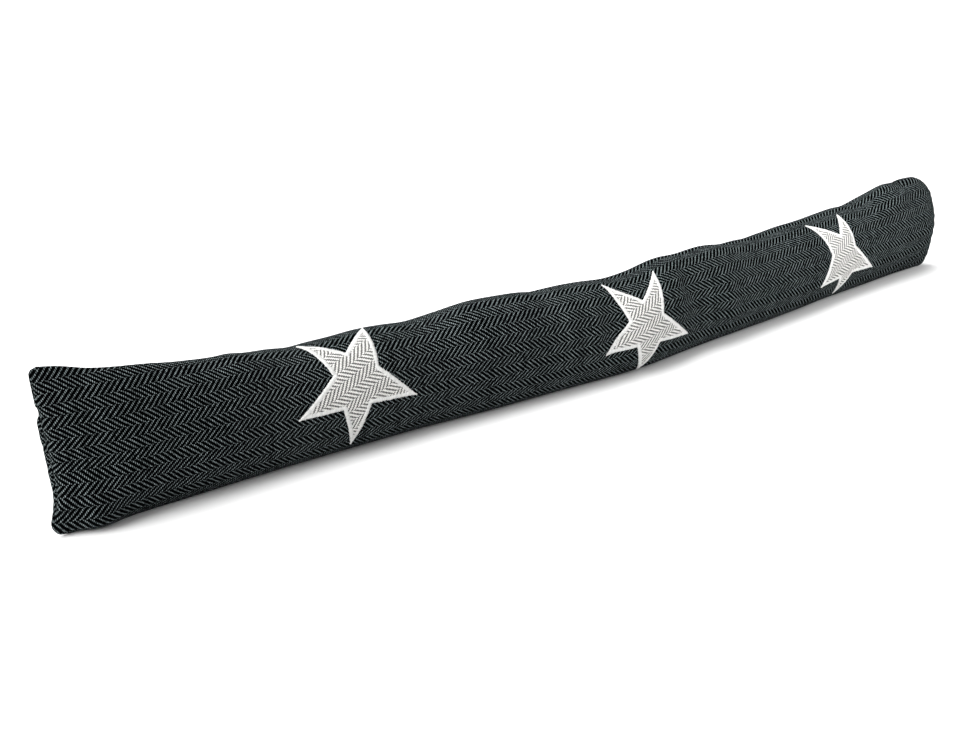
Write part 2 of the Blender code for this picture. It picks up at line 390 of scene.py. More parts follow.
def rounded(share, foot, top):
    """How far a seam is cut back by the rounds at its foot and top, at each share of its height."""
    radius = np.where(share < 0.5, foot, top)
    way = np.minimum(share, 1 - share) * PANEL
    missing = np.clip(radius - way, 0, radius)
    return radius - np.sqrt(radius**2 - missing**2)


def end_shape(along, share):
    """How far along the tube each end's cloth is shifted by its lean, its corners and its fullness."""
    up = 2 * share - 1
    left = rounded(share, LEFT_FOOT_ROUND, LEFT_TOP_ROUND) * ease(1 - along / CORNER_REACH)
    left += (LEFT_SET_IN + LEFT_DRAWN * (1 - up**2) - LEFT_LEAN * up) * ease(1 - along / LEAN_REACH)
    left -= LEFT_EAR * ease(1 - share / LEFT_EAR_SHARE) * ease(1 - along / LEFT_EAR_REACH)
    puffed = along / LEFT_PUFF_AT
    left -= LEFT_PUFF * (1 - up**2) * puffed * np.exp(1 - puffed)
    right = rounded(share, RIGHT_FOOT_ROUND, RIGHT_TOP_ROUND) + RIGHT_BULGE * up**2 + RIGHT_LEAN * up
    return left - right * ease(1 - (LENGTH - along) / LEAN_REACH)


def foot_swell(along, around):
    """How far the cloth low on the front stands out beside the left end's foot."""
    way = np.sqrt(np.clip(around / PANEL / LEFT_SWELL_SHARE, 0, 1))
    far = (along - LEFT_SWELL_AT) / LEFT_SWELL_REACH
    return LEFT_SWELL * np.sin(np.pi * way) * np.exp(-(far**2)) * ease(along / LEFT_SWELL_AT)


def plain_surface(along, around):
    """Points of the smooth body, before its lumps. 'around' is counted on the section itself."""
    along = np.clip(along, 0, LENGTH)
    around = (around + PANEL) % (2 * PANEL) - PANEL
    side = np.where(around < 0, -1, 1)
    share = np.abs(around) / PANEL
    rows, row_of = np.unique(along, return_inverse=True)
    out, high, steps = half_sections(rows)
    y, z = np.empty(len(along)), np.empty(len(along))
    order = np.argsort(row_of, kind="stable")
    starts = np.searchsorted(row_of[order], np.arange(len(rows) + 1))
    for row in range(len(rows)):
        here = order[starts[row]:starts[row + 1]]
        y[here] = np.interp(share[here], steps[row], out[row])
        z[here] = np.interp(share[here], steps[row], high[row])
    y = y * side + foot_swell(along, around)
    before, after = np.maximum(along - SLOPE_STEP, 0), np.minimum(along + SLOPE_STEP, LENGTH)
    lean = (follow("side", after) - follow("side", before)) / (after - before)
    size = np.hypot(1, lean)
    x = along + end_shape(along, share) + y * lean / size
    return np.stack([x, follow("side", along) - y / size, z], axis=1)


def wrapped(distance):
    """A distance round the tube, brought within half its girth."""
    return (distance + PANEL) % (2 * PANEL) - PANEL


def lumps(along, around):
    """The rise of the filling's lumps at each place."""
    rise = np.zeros(len(along))
    for lump in named_rows(LUMPS):
        far = (along - lump["along"]) / lump["reach_along"]
        aside = wrapped(around - lump["round"])
        rise += lump["rise"] * np.exp(-(far**2) - (aside / lump["reach_round"]) ** 2)
    return rise * ease((np.abs(wrapped(around)) - LUMPS_FROM) / LUMPS_FROM)


def creases(along, around):
    """The rise of the cloth's creases and shallow folds at each place."""
    rise = np.zeros(len(along))
    for crease in named_rows(CREASES):
        turn = np.radians(crease["degrees"])
        far = along - crease["along"]
        aside = wrapped(around - crease["round"])
        onward = (far * np.cos(turn) + aside * np.sin(turn)) / crease["half_length"]
        across = (aside * np.cos(turn) - far * np.sin(turn)) / crease["half_width"]
        rise += crease["rise"] * np.exp(-(onward**4) - across**2)
    return rise


def fullness(along, around):
    """Faint unevenness of the filling under the cloth."""
    draw = np.random.default_rng(SEED)
    rise = np.zeros(len(along))
    turn = 2 * np.pi * around / (2 * PANEL)
    for length in WAVE_LENGTHS:
        for times in WAVES_ROUND:
            phase, tilt = draw.uniform(0, 2 * np.pi, 2)
            strength = draw.uniform(*WAVE_STRENGTHS) * length / WAVE_LENGTHS[0]
            rise += strength * np.sin(2 * np.pi * along / length + phase) * np.cos(times * turn + tilt)
    return WAVE_RISE * rise * ease((np.abs(wrapped(around)) - WAVES_FROM) / LUMPS_FROM)


def puckers(along, around):
    """Small gathers that the end seams draw into the cloth beside them."""
    draw = np.random.default_rng(SEED + 1)
    rise = np.zeros(len(along))
    for from_end, height in ((along, LEFT_PUCKERS), (LENGTH - along, RIGHT_PUCKERS)):
        wave = np.zeros(len(along))
        for times in PUCKER_COUNTS:
            phase = draw.uniform(0, 2 * np.pi)
            turn = np.pi * times * around / PANEL
            wave += draw.uniform(*PUCKER_STRENGTHS) * np.sin(turn + phase)
        rise += height * wave * np.exp(-((from_end / PUCKER_REACH) ** 2)) * ease(from_end / PUCKER_START)
    return rise * ease((np.abs(wrapped(around)) - PUCKERS_FROM) / (2 * PUCKERS_FROM))


def star_outline(star, inset):
    """The ten corners of a star's outline, its edges moved in by that much, from the star's middle."""
    turns, reaches = np.radians(CORNER_TURNS[star]), np.array(CORNER_REACHES[star])
    corners = np.stack([reaches * np.cos(turns), reaches * np.sin(turns)], axis=1)
    along_edge = np.roll(corners, -1, axis=0) - corners
    along_edge /= np.linalg.norm(along_edge, axis=1, keepdims=True)
    inward = np.stack([-along_edge[:, 1], along_edge[:, 0]], axis=1)
    both = inward + np.roll(inward, 1, axis=0)
    return corners + inset * 2 * both / np.sum(both**2, axis=1, keepdims=True)


def outside_star(star, flat):
    """How far each flat place is outside a star's outline. Inside, it is less than nothing."""
    corners = star_outline(star, 0)
    nearest = np.full(len(flat), np.inf)
    inside = np.zeros(len(flat), bool)
    for here, beyond in zip(corners, np.roll(corners, -1, axis=0)):
        edge = beyond - here
        share = np.clip((flat - here) @ edge / (edge @ edge), 0, 1)
        nearest = np.minimum(nearest, np.linalg.norm(flat - here - share[:, None] * edge, axis=1))
        spans = (here[1] > flat[:, 1]) != (beyond[1] > flat[:, 1])
        rise = beyond[1] - here[1] if abs(beyond[1] - here[1]) > TINY else TINY
        cross = here[0] + (flat[:, 1] - here[1]) / rise * edge[0]
        inside ^= spans & (flat[:, 0] < cross)
    return np.where(inside, -nearest, nearest)


def sewn_down(along, around):
    """How the stars' stitches press the cover down round them."""
    rise = np.zeros(len(along))
    for star in range(1, len(STARS)):
        middle = named_rows(STARS)[star - 1]
        aside = wrapped(around - follow("turn", along) - middle["round"])
        flat = np.stack([along - middle["along"], aside], axis=1)
        near = np.hypot(flat[:, 0], flat[:, 1]) < STAR_REACH
        if near.any():
            outside = outside_star(star, flat[near])
            rise[near] -= SEWN_DEPTH * np.exp(-((np.maximum(outside, 0) / SEWN_REACH) ** 2))
    return rise


def surface(along, around, lift=0.0):
    """Points on the dressed tube, or that far above it, in metres, from places on its sections."""
    here = plain_surface(along, around)
    lengthwise = plain_surface(along + SLOPE_STEP, around) - plain_surface(along - SLOPE_STEP, around)
    crosswise = plain_surface(along, around + SLOPE_STEP) - plain_surface(along, around - SLOPE_STEP)
    outward = np.cross(lengthwise, crosswise)
    outward /= np.maximum(np.linalg.norm(outward, axis=1, keepdims=True), TINY)
    rise = lumps(along, around) + creases(along, around) + fullness(along, around)
    rise += puckers(along, around) + sewn_down(along, around) + lift
    return (here + outward * rise[:, None]) * MM


def seam_frame_shift():
    """How far the left seam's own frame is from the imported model's, along and across."""
    along = np.linspace(0, LENGTH, MEASURED_ROWS)
    around = np.linspace(-PANEL, PANEL, MEASURED_POINTS)
    along, around = np.meshgrid(along, around)
    points = plain_surface(along.ravel(), around.ravel()) * MM
    low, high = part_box("tube")
    middle = (points.min(axis=0) + points.max(axis=0)) / 2
    return np.array([(low.x + high.x) / 2 - middle[0], (low.y + high.y) / 2 - middle[1], 0])


def on_tube(star, flat, lift):
    """Places of a star's flat pattern carried onto the tube."""
    middle = named_rows(STARS)[star - 1]
    along = middle["along"] + flat[:, 0]
    around = middle["round"] + flat[:, 1] + follow("turn", along)
    return surface(along, around, lift) + SHIFT


def mesh_piece(name, points, faces, finish, places=None):
    """A named mesh piece. 'places' gives each corner of each face its place on the flat cloth."""
    mesh = bpy.data.meshes.new(name)
    mesh.from_pydata([tuple(p) for p in points], [], faces)
    mesh.materials.append(finish)
    mesh.shade_smooth()
    if places is not None:
        layer = mesh.uv_layers.new(name="cloth")
        layer.data.foreach_set("uv", np.asarray(places, float).ravel())
    piece = bpy.data.objects.new(name, mesh)
    bpy.context.scene.collection.objects.link(piece)
    return piece


class Amount:
    """A number inside a material. Plain Python maths on it adds the Math nodes."""

    def __init__(self, finish, socket):
        self.finish = finish
        self.socket = socket

    def maths(self, operation, *values):
        """One Math node."""
        made = self.finish.add("ShaderNodeMath", {"operation": operation}, dict(enumerate(values)))
        return Amount(self.finish, made.outputs[0])

    def __add__(self, other):
        return self.maths("ADD", self, other)

    __radd__ = __add__

    def __sub__(self, other):
        return self.maths("SUBTRACT", self, other)

    def __rsub__(self, other):
        return self.maths("SUBTRACT", other, self)

    def __mul__(self, other):
        return self.maths("MULTIPLY", self, other)

    __rmul__ = __mul__

    def __truediv__(self, other):
        return self.maths("DIVIDE", self, other)

    def __mod__(self, other):
        return self.maths("FLOORED_MODULO", self, other)

    def __pow__(self, other):
        return self.maths("POWER", self, other)

    def __lt__(self, other):
        return self.maths("LESS_THAN", self, other)

    def __gt__(self, other):
        return self.maths("GREATER_THAN", self, other)

    def whole(self):
        """The whole number below."""
        return self.maths("FLOOR", self)

    def hump(self):
        """Rises from 0 to 1 and falls again, for numbers from 0 to 1."""
        return self.maths("MAXIMUM", self.maths("SINE", self * np.pi), 0.0)

    def between(self, low, high):
        """A soft step from 0 at low to 1 at high."""
        made = self.finish.add(
            "ShaderNodeMapRange", {"interpolation_type": "SMOOTHSTEP"}, {0: self, 1: low, 2: high}
        )
        return Amount(self.finish, made.outputs[0])


class Finish:
    """A material as it is being made."""

    def __init__(self, name):
        self.material = bpy.data.materials.new(name)
        self.material.use_nodes = True
        self.tree = self.material.node_tree
        self.shader = self.tree.nodes["Principled BSDF"]

    def add(self, kind, settings, sockets):
        """One node: its settings come first, then the values or links of its sockets."""
        made = self.tree.nodes.new(kind)
        for name, value in settings.items():
            setattr(made, name, value)
        for name, value in sockets.items():
            self.put(made.inputs[name], value)
        return made

    def put(self, socket, value):
        """Sets one socket, by a link or by a plain value."""
        if isinstance(value, Amount):
            value = value.socket
        if isinstance(value, bpy.types.NodeSocket):
            self.tree.links.new(value, socket)
        else:
            socket.default_value = value

    def noise(self, where, scale, detail=2.0, roughness=0.5):
        """Cloudy noise, as a number round 0.5."""
        sockets = {"Vector": where, "Scale": scale, "Detail": detail, "Roughness": roughness}
        return Amount(self, self.add("ShaderNodeTexNoise", {}, sockets).outputs[0])

    def chance(self, x, y):
        """A number from 0 to 1 that is fixed for each pair of whole numbers."""
        pair = self.add("ShaderNodeCombineXYZ", {}, {0: x, 1: y}).outputs[0]
        made = self.add("ShaderNodeTexWhiteNoise", {"noise_dimensions": "2D"}, {"Vector": pair})
        return Amount(self, made.outputs["Value"])

    def mix(self, share, one, other):
        """A colour between two colours."""
        made = self.add("ShaderNodeMix", {"data_type": "RGBA"}, {0: share, 6: one, 7: other})
        return made.outputs[2]

    def tint(self, colour, amount):
        """A colour made lighter or darker."""
        grey = self.add("ShaderNodeCombineXYZ", {}, {0: amount, 1: amount, 2: amount}).outputs[0]
        made = self.add("ShaderNodeVectorMath", {"operation": "MULTIPLY"}, {0: colour, 1: grey})
        return made.outputs[0]

    def bump(self, height, distance, strength):
        """Raises the surface by a height from 0 to 1."""
        sockets = {"Strength": strength, "Distance": distance, "Height": height}
        self.put(self.shader.inputs["Normal"], self.add("ShaderNodeBump", {}, sockets).outputs[0])


def herringbone(name, cloth):
    """A broken two-and-two herringbone: one yarn lies along the tube, the other is laid round it."""
    finish = Finish(name)
    place = finish.add("ShaderNodeUVMap", {"uv_map": "cloth"}, {}).outputs[0]
    axes = finish.add("ShaderNodeSeparateXYZ", {}, {0: place})
    along, around = Amount(finish, axes.outputs[0]), Amount(finish, axes.outputs[1])

    # Yarns are never quite straight
    along = along + (finish.noise(place, WANDER_SCALE) - 0.5) * WANDER
    around = around + (finish.noise(place, DRIFT_SCALE) - 0.5) * DRIFT - cloth["start"]

    pick, end = along / cloth["pick"], around / cloth["end"]
    pick_number, end_number = pick.whole(), end.whole()
    in_pick, in_end = pick - pick_number, end - end_number

    # The bands rise and fall in turn, and each float's run goes from 0 to 1
    spot = end_number % (2 * ENDS_A_BAND)
    falling = spot > ENDS_A_BAND - 0.5
    step = spot + falling * (2 * ENDS_A_BAND + 1 - 2 * spot)
    phase = (pick_number - step) % (2 * YARNS_A_FLOAT)
    last = YARNS_A_FLOAT - 1
    weft_on_top = phase < YARNS_A_FLOAT - 0.5
    weft_run = (last - phase + falling * (2 * phase - last) + in_end) / YARNS_A_FLOAT
    warp_run = (phase - YARNS_A_FLOAT + in_pick) / YARNS_A_FLOAT

    # Each yarn is round, and dives at the ends of each float
    weft_round, weft_dive = in_pick.hump(), weft_run.hump()
    warp_round, warp_dive = in_end.hump(), warp_run.hump()
    weft_height = weft_round**YARN_ROUNDNESS * weft_dive**DIVE_ROUNDNESS
    warp_height = warp_round**YARN_ROUNDNESS * warp_dive**DIVE_ROUNDNESS
    wide, long = weft_round.between(*cloth["weft_width"]), weft_dive.between(*cloth["weft_ends"])
    shows = weft_on_top * wide * long
    height = weft_on_top * weft_height + (1 - weft_on_top) * warp_height

    # No two floats are quite alike
    speckle = finish.chance(pick_number, end_number) - 0.5
    yarn = finish.chance(pick_number, 0.0) - 0.5
    fibre = finish.noise(place, FIBRE_SCALE, FIBRE_DETAIL, FIBRE_ROUGHNESS)
    mottle = finish.noise(place, MOTTLE_SCALE) - 0.5
    tone = speckle + yarn * YARN_TONES + (fibre - 0.5) * FIBRE_TONES + mottle * MOTTLE_TONES
    light = 1 + cloth["unevenness"] * tone
    # Painted shade: the colour darkens where each yarn dips low, at its edges and in the gaps between
    # floats
    depth = DARKEST_PAINTED_GAP_SHADE + (1 - DARKEST_PAINTED_GAP_SHADE) * height
    colour = finish.tint(finish.mix(shows, cloth["warp"], cloth["weft"]), light * depth)
    finish.put(finish.shader.inputs["Base Color"], colour)
    finish.put(finish.shader.inputs["Roughness"], YARN_ROUGHNESS[0] - YARN_ROUGHNESS[1] * shows)
    finish.bump(height + FIBRE_HEIGHT * fibre, YARN_RELIEF, YARN_BUMP)
    finish.shader.inputs["Specular IOR Level"].default_value = 0.0
    finish.shader.inputs["Sheen Weight"].default_value = cloth["sheen"]
    finish.shader.inputs["Sheen Roughness"].default_value = SHEEN_ROUGHNESS
    return finish.material


def satin_finish():
    """White satin thread, laid close. Each stitch has its own tone."""
    finish = Finish("satin thread")
    stitch = finish.add("ShaderNodeAttribute", {"attribute_name": "tone"}, {})
    tone = Amount(finish, stitch.outputs["Fac"])
    place = finish.add("ShaderNodeTexCoord", {}, {}).outputs["Object"]
    fibre = finish.noise(place, SATIN_FIBRES, FIBRE_DETAIL, FIBRE_ROUGHNESS)
    darkest, stitch_share, fibre_share = SATIN_TONES
    light = darkest + stitch_share * tone + fibre_share * (fibre - 0.5)
    finish.put(finish.shader.inputs["Base Color"], finish.tint(SATIN_COLOUR, light))
    finish.put(finish.shader.inputs["Roughness"], SATIN_ROUGHNESS[0] + SATIN_ROUGHNESS[1] * fibre)
    finish.bump(fibre, SATIN_RELIEF, SATIN_BUMP)
    finish.shader.inputs["Sheen Weight"].default_value = SATIN_SHEEN
    return finish.material


def cover_places(along, around):
    """Places on the flat cloth, in metres. The cloth lies a little fuller low at the left end."""
    cloth = around - follow("turn", np.clip(along, 0, LENGTH))
    low = np.maximum(FULLER_BELOW - cloth, 0) * (around < PANEL) * (around > -SEAM_PLACE)
    cloth = cloth + FULLER_BY * low * ease(1 - along / FULLER_REACH)
    return np.stack([along, cloth], axis=-1) * MM


def end_folds(lip, place, onward):
    """The rings in which the cloth folds in at an end, outermost first, and their places along it."""
    middle = float(follow("side", np.array([place]))[0]) * MM
    tall = lip[:, 2].max()
    rings, places = [], []
    for inward, share_left in FOLDS:
        fold = lip.copy()
        fold[:, 0] += onward * inward * MM
        fold[:, 1] = middle + (lip[:, 1] - middle) * share_left
        fold[:, 2] = tall / 2 + (lip[:, 2] - tall / 2) * (1 - 2 * inward * MM / tall)
        rings.append(fold)
        places.append(place - onward * inward)
    return rings, places


def numbered_rings(levels, front):
    """All the points, and each ring's numbers. The innermost folds close flat, back on front."""
    points, rings = [], []
    for place, level in enumerate(levels):
        first = len(points)
        flat = place in (0, len(levels) - 1)
        kept = level[:front] if flat else level
        points.extend(kept + SHIFT)
        numbers = list(range(first, first + len(kept)))
        rings.append(numbers + numbers[1:-1][::-1] if flat else numbers)
    return points, rings


def laid_along(levels, reach):
    """Each point's place along the cloth, which keeps its length over both ends."""
    lengths = np.linalg.norm(np.diff(np.array(levels), axis=0), axis=2) / MM
    laid = np.repeat(reach[:, None], len(levels[0]), axis=1)
    for number in range(np.searchsorted(reach, TRUE_LENGTH_FROM) - 1, -1, -1):
        laid[number] = laid[number + 1] - lengths[number]
    for number in range(np.searchsorted(reach, LENGTH - TRUE_LENGTH_FROM) + 1, len(reach)):
        laid[number] = laid[number - 1] + lengths[number - 1]
    return laid


def laid_round(front):
    """Where each column of faces starts and stops round the cloth, which breaks off at the seam."""
    starts = np.concatenate([front, 2 * PANEL - front[1:-1][::-1]])
    stops = np.append(starts[1:], 2 * PANEL)
    past_seam = starts >= 2 * PANEL - SEAM_PLACE - TINY
    return starts - 2 * PANEL * past_seam, stops - 2 * PANEL * past_seam


def cover(finish):
    """The woven cover: one closed skin, folded in at both ends, with its long seam low at the back."""
    ends = np.array(END_ROWS)
    count = int(round((LENGTH - 2 * ends[-1]) / ROW_PITCH))
    middle = np.linspace(ends[-1], LENGTH - ends[-1], count + 1)[1:-1]
    rows = np.concatenate([ends, middle, LENGTH - ends[::-1]])
    front = np.linspace(0, PANEL, COLUMNS + 1)
    ring = np.concatenate([front, -front[1:-1][::-1]])
    along, around = np.meshgrid(rows, ring, indexing="ij")
    body = surface(along.ravel(), around.ravel()).reshape(len(rows), len(ring), 3)

    left_folds, left_places = end_folds(body[0], rows[0], 1)
    right_folds, right_places = end_folds(body[-1], rows[-1], -1)
    levels = left_folds[::-1] + list(body) + right_folds
    reach = np.array(left_places[::-1] + list(rows) + right_places)
    points, rings = numbered_rings(levels, len(front))
    laid = laid_along(levels, reach)
    starts, stops = laid_round(front)

    # Each face, and the place on the cloth of each of its corners
    faces, corners = [], []
    for number in range(len(levels) - 1):
        here, beyond = rings[number], rings[number + 1]
        for i in range(len(ring)):
            j = (i + 1) % len(ring)
            faces.append((here[i], beyond[i], beyond[j], here[j]))
        near, far = laid[number], laid[number + 1]
        quad = [(near, starts), (far, starts), (np.roll(far, -1), stops), (np.roll(near, -1), stops)]
        corners.append(np.stack([cover_places(*corner) for corner in quad], axis=1))
    return mesh_piece("cover", points, faces, finish, np.concatenate(corners).reshape(-1, 2))


def star_pattern(star):
    """A star's flat pattern, divided from its middle: its places, its faces and its rim."""
    corners = star_outline(star, STAR_CUT_INSET)
    places, index, faces, rim = [], {}, [], []

    def place(flat):
        """The number of one place, which its neighbours share."""
        key = (round(flat[0], 4), round(flat[1], 4))
        if key not in index:
            index[key] = len(places)
            places.append(flat)
        return index[key]

    for here, beyond in zip(corners, np.roll(corners, -1, axis=0)):
        a, b = here / STAR_DIVISIONS, beyond / STAR_DIVISIONS
        for i in range(STAR_DIVISIONS):
            for j in range(STAR_DIVISIONS - i):
                low = i * a + j * b
                faces.append((place(low), place(low + a), place(low + b)))
                if j < STAR_DIVISIONS - i - 1:
                    faces.append((place(low + a), place(low + a + b), place(low + b)))
    for here, beyond in zip(corners, np.roll(corners, -1, axis=0)):
        rim += [place(here + (beyond - here) * k / STAR_DIVISIONS) for k in range(STAR_DIVISIONS)]
    return np.array(places), faces, rim


def star_cloth(star, finish):
    """One star of pale cloth: a thin sheet, slightly crowned, its weave running at a slant."""
    flat, faces, rim = star_pattern(star)
    crown = STAR_CROWN * ease(-outside_star(star, flat) / CROWN_REACH)
    top = on_tube(star, flat, STAR_THICKNESS + crown)
    under = on_tube(star, flat, STAR_UNDERSIDE + crown * UNDER_CROWN)
    count = len(flat)
    closed = faces + [tuple(v + count for v in reversed(face)) for face in faces]
    for here, beyond in zip(rim, rim[1:] + rim[:1]):
        closed.append((beyond, here, here + count, beyond + count))
    turn = np.radians(STAR_SLANTS[star - 1])
    onward = flat[:, 0] * np.cos(turn) + flat[:, 1] * np.sin(turn)
    across = flat[:, 1] * np.cos(turn) - flat[:, 0] * np.sin(turn)
    weave = (np.stack([onward, across], axis=1) + STAR_WEAVE_FROM[star - 1]) * MM
    weave = np.concatenate([weave, weave])
    layout = np.array([weave[v] for face in closed for v in face])
    return mesh_piece(f"star_cloth_{star}", np.concatenate([top, under]), closed, finish, layout)


def stitch_places(star):
    """Where each satin stitch goes: its outer and inner end, on the star's flat pattern."""
    draw = np.random.default_rng(SEED + star)
    corners = star_outline(star, 0)
    count = len(corners)
    outer_ends, inner_ends = [], []
    for k in range(count):
        here, beyond = corners[k], corners[(k + 1) % count]
        edge = beyond - here
        size = np.linalg.norm(edge)
        onward = edge / size
        inward = np.array([-onward[1], onward[0]])
        tip_first = k % 2 == 0
        tip = here if tip_first else beyond
        deep = star_outline(star, SATIN_WIDTH)[k if tip_first else (k + 1) % count]
        bisector = (deep - tip) / np.linalg.norm(deep - tip)
        sharpness = abs(bisector @ inward) / max(abs(bisector @ onward), TINY)
        steps = int(size / STITCH_PITCH)
        for step in range(steps):
            way = (step + 0.5) * size / steps
            from_tip = way if tip_first else size - way
            room = from_tip * sharpness * TIP_ALLOWANCE[0] + TIP_ALLOWANCE[1]
            length = min(SATIN_WIDTH + draw.uniform(-1, 1) * STITCH_JITTER, room)
            outward = draw.uniform(LEAST_OUTWARD, 1) * STITCH_JITTER
            outer_ends.append(here + onward * way - inward * outward)
            inner_ends.append(here + onward * way + inward * length)
        if tip_first:
            # Stitches fan round the notch at the edge's far end
            ahead = corners[(k + 2) % count] - beyond
            ahead /= np.linalg.norm(ahead)
            next_inward = np.array([-ahead[1], ahead[0]])
            for step in range(STITCH_FAN):
                share = (step + 0.5) / STITCH_FAN
                way = inward * (1 - share) + next_inward * share
                way /= np.linalg.norm(way)
                outer_ends.append(beyond)
                inner_ends.append(beyond + way * (SATIN_WIDTH + draw.uniform(-1, 1) * STITCH_JITTER))
    return np.array(outer_ends), np.array(inner_ends)


class Stitcher:
    """The Geometry Nodes tree that lays one satin stitch at every place."""

    SIZES = (("Thread Width", THREAD_WIDTH), ("Bulge", STITCH_BULGE), ("Unevenness", STITCH_UNEVENNESS))

    def __init__(self, finish):
        self.tree = bpy.data.node_groups.new("satin stitches", "GeometryNodeTree")
        face = self.tree.interface
        face.new_socket("Geometry", in_out="INPUT", socket_type="NodeSocketGeometry")
        for name, size in self.SIZES:
            face.new_socket(name, in_out="INPUT", socket_type="NodeSocketFloat").default_value = size
        face.new_socket("Seed", in_out="INPUT", socket_type="NodeSocketInt").default_value = SEED
        face.new_socket("Geometry", in_out="OUTPUT", socket_type="NodeSocketGeometry")
        self.given = self.add("NodeGroupInput").outputs

        # Each stitch is turned and stretched to its own place, and is a little fuller or flatter
        reach, up = self.direction("across"), self.direction("up")
        turn = self.add(
            "FunctionNodeAxesToRotation", {"primary_axis": "Z", "secondary_axis": "Y"}, {0: up, 1: reach}
        )
        length = self.add("ShaderNodeVectorMath", {"operation": "LENGTH"}, {0: reach}).outputs["Value"]
        flattest = self.maths("SUBTRACT", 1.0, self.given["Unevenness"])
        fullest = self.maths("ADD", 1.0, self.given["Unevenness"])
        uneven = self.chance(flattest, fullest)
        scale = self.add("ShaderNodeCombineXYZ", {}, {0: 1.0, 1: length, 2: uneven})
        sockets = {"Points": self.given["Geometry"], "Instance": self.one_stitch()}
        sockets.update({"Rotation": turn.outputs[0], "Scale": scale.outputs[0]})
        laid = self.add("GeometryNodeInstanceOnPoints", {}, sockets)

        # Each has its own tone, before they all become one mesh
        toned = self.add(
            "GeometryNodeStoreNamedAttribute",
            {"data_type": "FLOAT", "domain": "INSTANCE"},
            {"Geometry": laid.outputs[0], "Name": "tone", "Value": self.chance(0.0, 1.0)},
        )
        real = self.add("GeometryNodeRealizeInstances", {}, {0: toned.outputs[0]})
        smooth = self.add("GeometryNodeSetShadeSmooth", {}, {0: real.outputs[0]})
        sockets = {"Geometry": smooth.outputs[0], "Material": finish}
        finished = self.add("GeometryNodeSetMaterial", {}, sockets)
        self.add("NodeGroupOutput", {}, {0: finished.outputs[0]})

    def one_stitch(self):
        """One stitch: a thread that is round across and arched from end to end."""
        counts = {"Size X": 1.0, "Size Y": 1.0, "Vertices X": POINTS_ACROSS, "Vertices Y": POINTS_ALONG}
        grid = self.add("GeometryNodeMeshGrid", {}, counts)
        where = self.add("GeometryNodeInputPosition")
        axes = self.add("ShaderNodeSeparateXYZ", {}, {0: where.outputs[0]})
        across, onward = axes.outputs[0], axes.outputs[1]
        half_turn = self.maths("MULTIPLY", across, np.pi)
        half_width = self.maths("MULTIPLY", self.given["Thread Width"], 0.5)
        aside = self.maths("MULTIPLY", self.maths("SINE", half_turn), half_width)
        depth = self.maths("MULTIPLY", self.given["Thread Width"], THREAD_DEPTH)
        roundness = self.maths("MULTIPLY", self.maths("COSINE", half_turn), depth)
        arch = self.maths("COSINE", self.maths("MULTIPLY", onward, np.pi))
        arch = self.maths("POWER", self.maths("MAXIMUM", arch, 0.0), ARCH_SHARPNESS)
        rise = self.maths("ADD", self.maths("MULTIPLY", arch, self.given["Bulge"]), roundness)
        shape = self.add("ShaderNodeCombineXYZ", {}, {0: aside, 1: onward, 2: rise})
        sockets = {"Geometry": grid.outputs[0], "Position": shape.outputs[0]}
        return self.add("GeometryNodeSetPosition", {}, sockets).outputs[0]

    def direction(self, name):
        """A direction that is kept at every place."""
        settings = {"data_type": "FLOAT_VECTOR"}
        return self.add("GeometryNodeInputNamedAttribute", settings, {"Name": name}).outputs[0]

    def chance(self, low, high):
        """A number between two others, drawn for each stitch."""
        sockets = {2: low, 3: high, 8: self.given["Seed"]}
        return self.add("FunctionNodeRandomValue", {"data_type": "FLOAT"}, sockets).outputs[1]

    def add(self, kind, settings=None, sockets=None):
        """One node: its settings come first, then the values or links of its sockets."""
        made = self.tree.nodes.new(kind)
        for name, value in (settings or {}).items():
            setattr(made, name, value)
        for name, value in (sockets or {}).items():
            if isinstance(value, bpy.types.NodeSocket):
                self.tree.links.new(value, made.inputs[name])
            else:
                made.inputs[name].default_value = value
        return made

    def maths(self, operation, *values):
        """One Math node."""
        return self.add("ShaderNodeMath", {"operation": operation}, dict(enumerate(values))).outputs[0]

    def lay(self, name, points, across, up, **sizes):
        """The stitches at these places, as one plain mesh."""
        mesh = bpy.data.meshes.new(name)
        mesh.from_pydata([tuple(p) for p in points], [], [])
        for label, vectors in (("across", across), ("up", up)):
            kept = mesh.attributes.new(label, "FLOAT_VECTOR", "POINT")
            kept.data.foreach_set("vector", vectors.ravel())
        holder = bpy.data.objects.new(name + "_places", mesh)
        bpy.context.scene.collection.objects.link(holder)
        nodes = holder.modifiers.new("stitches", "NODES")
        nodes.node_group = self.tree
        for item in self.tree.interface.items_tree:
            if item.item_type == "SOCKET" and item.in_out == "INPUT" and item.name in sizes:
                nodes[item.identifier] = sizes[item.name]
        bpy.context.view_layer.update()
        seen = holder.evaluated_get(bpy.context.evaluated_depsgraph_get())
        made = bpy.data.meshes.new_from_object(seen)
        made.name = name
        piece = bpy.data.objects.new(name, made)
        bpy.context.scene.collection.objects.link(piece)
        bpy.data.objects.remove(holder)
        return piece


def flat_size(star):
    """The width, depth and area of a star's flat cloth, out to where it is sewn, in metres."""
    cut = star_outline(star, STAR_SEAM)
    width, depth = (cut.max(axis=0) - cut.min(axis=0)) * MM
    beyond = np.roll(cut, -1, axis=0)
    area = abs(np.sum(cut[:, 0] * beyond[:, 1] - cut[:, 1] * beyond[:, 0])) / 2 * MM * MM
    return width, depth, area


def satin_edge(star, stitcher):
    """The satin stitches round one star."""
    outer, inner = stitch_places(star)
    outer_at, inner_at = on_tube(star, outer, OUTER_LIFT), on_tube(star, inner, INNER_LIFT)
    middle = (outer_at + inner_at) / 2
    above = on_tube(star, (outer + inner) / 2, ABOVE) - on_tube(star, (outer + inner) / 2, 0.0)
    above /= np.linalg.norm(above, axis=1, keepdims=True)
    return stitcher.lay(f"satin_edge_{star}", middle, inner_at - outer_at, above, Seed=SEED + 10 * star)


